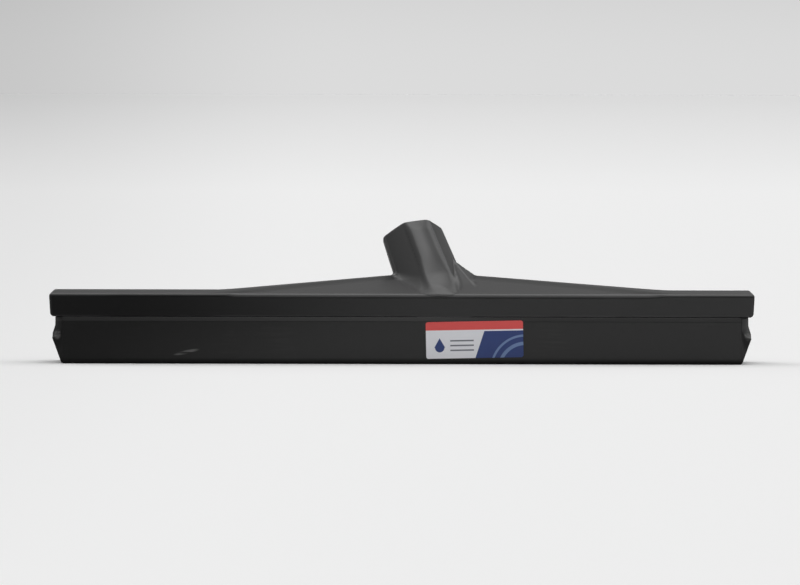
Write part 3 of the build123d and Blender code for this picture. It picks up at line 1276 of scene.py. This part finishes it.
@dataclass
class Pins:
    """The barbed pins across the cassette, in millimetres."""

    finish: SatinPlastic
    count: int = 8
    pitch: float = 54.0
    height: float = 17.0
    middle: float = 18.7
    reach: float = 20.8
    radius: float = 2.0
    barb: float = 0.5
    barb_pitch: float = 2.0
    barb_count: int = 3
    barb_step: float = 0.02
    sides: int = 20
    sharp: float = math.radians(35)

    def build(self) -> bpy.types.Object:
        """Makes all the pins.

        Returns:
            The pins as one piece, riding on the cassette.
        """
        start = self.reach - self.barb_count * self.barb_pitch
        steps = [(start - self.barb_step, self.radius)]
        for tooth in range(self.barb_count):
            steps.append((start + tooth * self.barb_pitch, self.radius + self.barb))
            steps.append((start + (tooth + 1) * self.barb_pitch - self.barb_step, self.radius))
        steps = [(-place, width) for place, width in reversed(steps)] + steps
        seed = bpy.data.meshes.new("pin_line")
        runs = [(place, place + 1) for place in range(len(steps) - 1)]
        seed.from_pydata([(0.0, place * MM, 0.0) for place, _ in steps], runs, [])
        width = seed.attributes.new("pin_radius", "FLOAT", "POINT")
        width.data.foreach_set("value", [value * MM for _, value in steps])
        sizes = {
            "Count": self.count,
            "Pitch": self.pitch * MM,
            "Height": self.height * MM,
            "Middle": self.middle * MM,
            "Sides": self.sides,
        }
        tree = Growth("pin_row", sizes)
        line = tree.term("GeometryNodeMeshToCurve", inputs={"Mesh": tree.given("Geometry")})
        unit_circle = {"Resolution": tree.given("Sides"), "Radius": 1.0}
        ring = tree.term("GeometryNodeCurvePrimitiveCircle", inputs=unit_circle)
        scale = tree.term("GeometryNodeInputNamedAttribute", {"data_type": "FLOAT"}, {"Name": "pin_radius"})
        sweep = {"Curve": line, "Profile Curve": ring, "Scale": scale, "Fill Caps": True}
        pin = tree.term("GeometryNodeCurveToMesh", inputs=sweep)
        first = tree.given("Pitch") * (tree.given("Count") - 1.0) * -0.5
        row = tree.term("GeometryNodeMeshLine", inputs={
            "Count": tree.given("Count"),
            "Start Location": tree.vector(first, tree.given("Middle"), tree.given("Height")),
            "Offset": tree.vector(tree.given("Pitch"), 0.0, 0.0),
        })
        pins = tree.term("GeometryNodeInstanceOnPoints", inputs={"Points": row, "Instance": pin})
        mesh = tree.grow(pins, seed, self.finish.material())
        mesh.shade_smooth()
        mesh.set_sharp_from_angle(angle=self.sharp)
        piece = new_piece("barbed_pins", mesh)
        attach(piece, "cassette")
        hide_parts("blade_pins")
        return piece


@dataclass
class Rail:
    """The extruded rail that carries the blades in the bar's channel."""

    finish: SatinPlastic
    edge: float = 0.25 * MM
    sharp: float = math.radians(24)

    def build(self, nodes: Mapping[str, bpy.types.Object]) -> bpy.types.Object:
        """Makes the rail with softened edges.

        Args:
            nodes: The frame's nodes.

        Returns:
            The rail, riding on the cassette.
        """
        piece = softened_copy(nodes["cassette_rail"], "rail", self.edge, self.sharp)
        piece.data.materials.append(self.finish.material())
        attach(piece, "cassette")
        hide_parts("cassette_rail")
        return piece


@dataclass
class Caps:
    """The two soft end caps of the cassette."""

    finish: BlackRubber
    edge: float = 0.5 * MM
    sharp: float = math.radians(24)
    seam: float = 216.2 * MM
    face: float = 25.0 * MM
    flush_face: float = 25.18 * MM
    face_room: float = 0.02 * MM
    middle: float = 18.7 * MM

    def build(self, nodes: Mapping[str, bpy.types.Object]) -> list[bpy.types.Object]:
        """Makes both caps, with their outer faces flush with the blades.

        Args:
            nodes: The frame's nodes.

        Returns:
            The caps, each riding on its own body.
        """
        material = self.finish.material()
        pieces = []
        for end in End:
            piece = softened_copy(nodes[end.value], f"soft_{end.value}", self.edge, self.sharp, self.seam)
            for vertex in piece.data.vertices:
                depth = vertex.co.y - self.middle
                if abs(depth) > self.face - self.face_room:
                    vertex.co.y = self.middle + math.copysign(self.flush_face, depth)
            piece.data.materials.append(material)
            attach(piece, end.value)
            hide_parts(end.value)
            pieces.append(piece)
        return pieces


@dataclass(frozen=True)
class Glow:
    """A soft bright patch of the studio's dome, which comes up over ranges of a direction's three parts."""

    level: float
    rise: tuple[float, float]
    fall: tuple[float, float] = (2.0, 1.5)
    side: tuple[float, float] = (-2.0, -1.5)
    depth: tuple[float, float] = (-2.0, -1.5)

    def seen(self, side: Term, depth: Term, height: Term) -> Term:
        """The patch's brightness in a direction.

        Args:
            side: The direction's part along X.
            depth: The direction's part along Y.
            height: The direction's part along Z.

        Returns:
            The brightness.
        """
        belt = height.ease(*self.rise) * height.ease(*self.fall)
        return belt * side.ease(*self.side) * depth.ease(*self.depth) * self.level


@dataclass
class Studio:
    """The pale floor, the soft light and the camera."""

    eye_distance: float = 4.1
    eye_elevation: float = math.radians(2.45)
    roll: float = math.radians(0.12)
    image_width: float = 800.0
    image_height: float = 585.0
    focal_pixels: float = 6422.0
    origin_pixel: tuple[float, float] = (401.9, 363.7)
    sensor: float = 36.0
    floor_reach: float = 200.0
    floor_colour: Colour = (0.97, 0.97, 0.97)
    far_colour: Colour = (0.786, 0.786, 0.786)
    floor_roughness: float = 0.9
    fade_reach: float = 7.0
    near_gain: float = 2.0
    near_relief: float = 0.75
    left_shade: float = 0.2
    left_span: tuple[float, float] = (-0.01, -0.07)
    dome_level: float = 0.17
    horizon_level: float = 0.54
    horizon_reach: float = 0.08
    glows: tuple[Glow, ...] = (
        Glow(0.7, rise=(0.83, 0.93)),
        Glow(2.3, rise=(0.93, 0.98), side=(-0.25, 0.0)),
        Glow(0.39, rise=(0.55, 0.65), fall=(0.93, 0.83), depth=(0.05, 0.35)),
        Glow(0.6, rise=(0.55, 0.65), fall=(0.93, 0.83), depth=(-0.35, -0.6)),
        Glow(1.15, rise=(0.5, 0.6), fall=(0.93, 0.83), side=(-0.05, -0.35), depth=(-0.3, 0.1)),
        Glow(0.95, rise=(0.5, 0.6), fall=(0.93, 0.83), side=(0.05, 0.35), depth=(-0.45, 0.05)),
        Glow(0.6, rise=(0.02, 0.1), fall=(0.55, 0.45), side=(-0.2, -0.5), depth=(0.1, 0.4)),
        Glow(1.2, rise=(0.15, 0.25), fall=(0.39, 0.29), side=(-0.2, -0.5), depth=(0.1, 0.4)),
        Glow(1.5, rise=(0.02, 0.1), fall=(0.22, 0.14), side=(0.2, 0.5), depth=(0.1, 0.4)),
        Glow(0.12, rise=(0.15, 0.25), fall=(0.55, 0.45), side=(0.2, 0.5), depth=(0.1, 0.4)),
        Glow(0.4, rise=(-0.05, 0.05), fall=(0.55, 0.45), side=(0.7, 0.9)),
    )

    def build(self) -> None:
        """Makes the whole studio."""
        self.build_camera()
        self.build_floor()
        self.build_light()
        bpy.context.scene.view_settings.view_transform = "Standard"

    def build_camera(self) -> None:
        """Sets the camera low in front of the head, turned so that the origin falls on its pixel."""
        data = bpy.data.cameras.new("camera")
        data.sensor_width = self.sensor
        data.lens = self.focal_pixels * self.sensor / self.image_width
        data.clip_end = 2 * self.floor_reach
        back = Vector((0, -math.cos(self.eye_elevation), math.sin(self.eye_elevation)))
        pan = math.atan((self.origin_pixel[0] - self.image_width / 2) / self.focal_pixels)
        tilt = math.atan((self.origin_pixel[1] - self.image_height / 2) / self.focal_pixels)
        look = (-back).to_track_quat("-Z", "Y").to_matrix()
        turn = look @ Euler((tilt, pan, 0)).to_matrix() @ Matrix.Rotation(self.roll, 3, "Z")
        camera = bpy.data.objects.new("camera", data)
        camera.matrix_world = Matrix.Translation(back * self.eye_distance) @ turn.to_4x4()
        bpy.context.scene.collection.objects.link(camera)
        bpy.context.scene.camera = camera

    def build_floor(self) -> None:
        """Lays the pale floor under the blades, its colour darkened far away and towards the left as painted
        shade.
        """
        work = bmesh.new()
        bmesh.ops.create_grid(work, x_segments=1, y_segments=1, size=self.floor_reach)
        mesh = bpy.data.meshes.new("floor")
        work.to_mesh(mesh)
        work.free()
        finish = Finish("pale_floor")
        along, depth, _ = finish.axes(finish.place())
        away = (along * along + depth * depth).root()
        # painted shade: the floor's colour darkens with distance and towards the left
        near = self.fade_reach / (away + self.fade_reach)
        aside = (along / (away + self.eye_distance)).ease(*self.left_span)
        shade = aside * (1.0 - near * self.near_relief) * self.left_shade
        colour = finish.blend((near * self.near_gain).lower(1.0), self.far_colour, self.floor_colour)
        colour = finish.blend(shade, colour, (0, 0, 0))
        sockets = {"Base Color": colour, "Roughness": self.floor_roughness, "Specular IOR Level": 0.0}
        mesh.materials.append(finish.coat(sockets))
        new_piece("floor", mesh)

    def build_light(self) -> None:
        """Lights the head with a dim dome that has soft bright patches."""
        world = bpy.data.worlds.new("studio")
        bpy.context.scene.world = world
        world.use_nodes = True
        dome = Board(world.node_tree)
        looking = dome.term("ShaderNodeTexCoord", output="Generated")
        direction = dome.node("ShaderNodeSeparateXYZ", inputs={0: looking})
        side, depth, height = (Term(dome, output) for output in direction.outputs)
        horizon = height.ease(self.horizon_reach, 0.0) * self.horizon_level + self.dome_level
        level = horizon * (1.0 - side.ease(*self.left_span) * self.left_shade)
        for glow in self.glows:
            level = level + glow.seen(side, depth, height)
        background = dome.term("ShaderNodeBackground", inputs={"Color": (1, 1, 1, 1), "Strength": level})
        dome.node("ShaderNodeOutputWorld", inputs={"Surface": background})


def main() -> None:
    """Builds the squeegee head and its studio."""
    logging.basicConfig(level=logging.INFO, format="%(name)s: %(message)s")
    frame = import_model()
    nodes = frame["nodes"]
    bar_plastic = SatinPlastic("satin_plastic")
    rail_plastic = SatinPlastic("rail_plastic", roughness=0.36)
    pin_plastic = SatinPlastic("pin_plastic", colour=(0.06, 0.06, 0.06))
    blade_scuff = ScuffAndHighlight((-137.4 * MM, 7.4 * MM), (9.5 * MM, 1.5 * MM), math.radians(12))
    blade_rubber = BlackRubber("blade_rubber", (blade_scuff,), scuff_and_highlight_colour=(0.2, 0.2, 0.196))
    # painted highlights: pale patches on the caps' coves, where light falls on the upward-facing cove
    cap_painted_highlights = tuple(ScuffAndHighlight((x * MM, 18.5 * MM), (2.8 * MM, 4 * MM)) for x in (-219.5, 220.5))
    cap_rubber = BlackRubber("cap_rubber", cap_painted_highlights, gloss=0.5)
    pieces = [Bar(bar_plastic, Socket()).build(), Rail(rail_plastic).build(nodes)]
    pieces += Blades(blade_rubber).build()
    pieces.append(Pins(pin_plastic).build())
    pieces += Caps(cap_rubber).build(nodes)
    for piece in pieces:
        log.info("%s: %d faces", piece.name, len(piece.data.polygons))
    label_low, label_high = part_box("label")
    label_centre = tuple((label_low + label_high) / 2)
    film = PrintedFilm("printed_film", label_centre, tilt=math.radians(1.2), width=62 * MM, height=23.4 * MM)
    nodes["label"].data.materials[0] = film.material()
    Studio().build()


if __name__ == "__main__":
    main()
